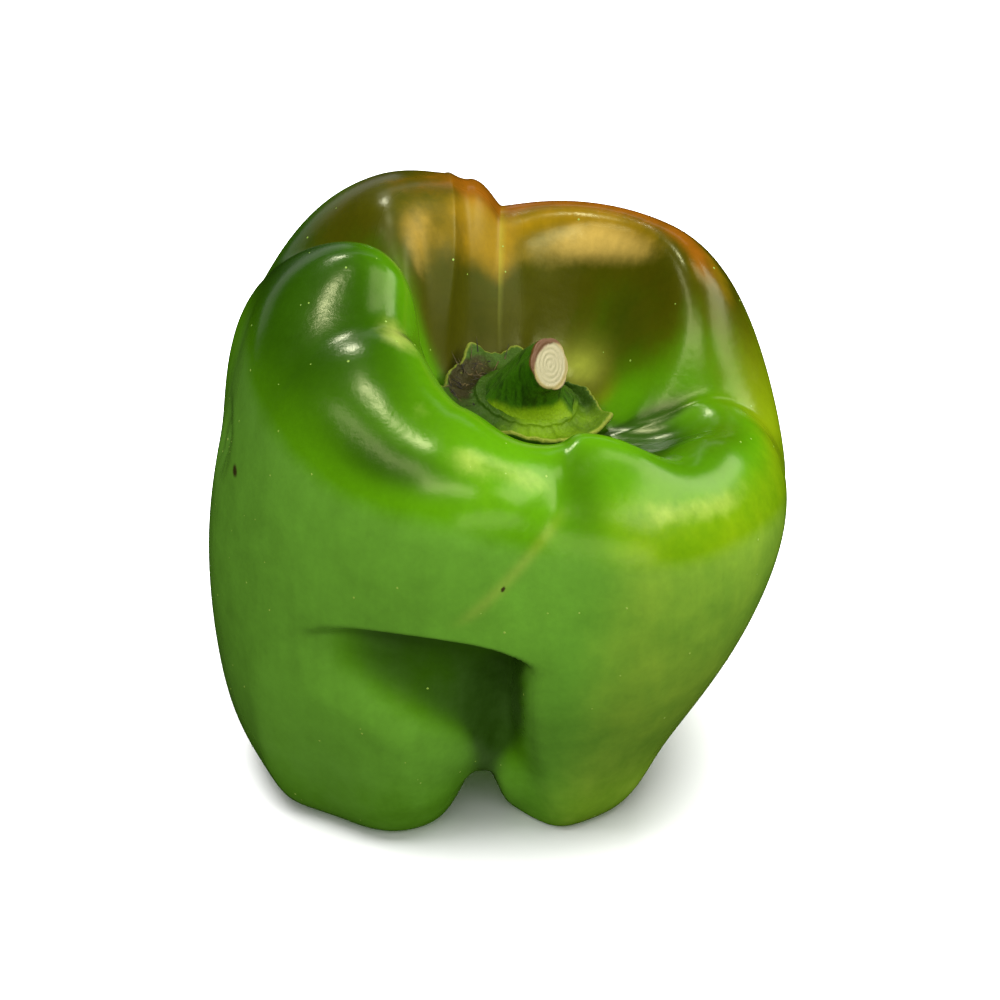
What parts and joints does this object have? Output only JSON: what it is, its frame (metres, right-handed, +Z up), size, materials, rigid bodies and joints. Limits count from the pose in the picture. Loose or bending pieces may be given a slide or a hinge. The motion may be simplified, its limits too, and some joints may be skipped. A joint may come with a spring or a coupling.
{
  "type": "bell pepper",
  "caption": "Blocky ripening green bell pepper with deep lobes, a sunken calyx and a short ribbed stem cut aslant.",
  "frame": {"origin": "on the surface it stands on, under the middle of the bounding box", "axes": "+Z up from the blossom end to the stem, -Y towards the front with the ledge and two feet, +X to the right lobe"},
  "size_m": [0.0866, 0.0802, 0.0835],
  "materials": {
    "skin": "waxy gloss",
    "calyx": "dull, wrinkled",
    "stem": "dull, ribbed"
  },
  "bodies": {
    "root": {"fruit": "skin", "calyx": "calyx", "stem": "stem"}
  },
  "joints": []
}
